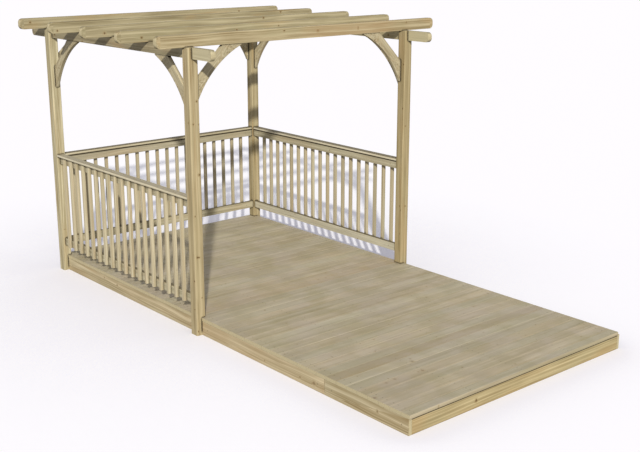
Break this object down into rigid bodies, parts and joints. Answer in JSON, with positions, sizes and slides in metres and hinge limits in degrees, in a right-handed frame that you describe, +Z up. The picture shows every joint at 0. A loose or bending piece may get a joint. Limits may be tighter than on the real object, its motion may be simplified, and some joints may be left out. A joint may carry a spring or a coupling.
{
  "type": "pergola with decking",
  "caption": "Open timber pergola with curved braces over the rear half of a raised timber deck, with a spindle balustrade on three sides.",
  "frame": {"origin": "on the ground under the middle of the whole outline", "axes": "+X right, +Y towards the pergola's closed rear side, +Z up"},
  "size_m": [3.07, 5.28, 2.515],
  "materials": {
    "post": "matte",
    "beam": "matte",
    "brace": "matte",
    "rail": "matte",
    "deck": "matte",
    "frame": "matte"
  },
  "bodies": {
    "root": {"post_front_left": "post", "post_front_right": "post", "post_rear_left": "post", "post_rear_right": "post", "beam_left": "beam", "beam_right": "beam", "rafter_1": "beam", "rafter_2": "beam", "rafter_3": "beam", "rafter_4": "beam", "rafter_5": "beam", "brace_front_left_beam": "brace", "brace_front_right_beam": "brace", "brace_rear_left_beam": "brace", "brace_rear_right_beam": "brace", "brace_front_left_rafter": "brace", "brace_front_right_rafter": "brace", "brace_rear_left_rafter": "brace", "brace_rear_right_rafter": "brace", "handrail_left": "rail", "handrail_back": "rail", "handrail_right": "rail", "top_rail_left": "rail", "top_rail_back": "rail", "top_rail_right": "rail", "bottom_rail_left": "rail", "bottom_rail_back": "rail", "bottom_rail_right": "rail", "spindles_left": "rail", "spindles_back": "rail", "spindles_right": "rail", "deck_boards": "deck", "joists": "frame", "rim_front": "frame", "rim_rear": "frame", "fascia_left": "frame", "fascia_right": "frame"}
  },
  "joints": []
}
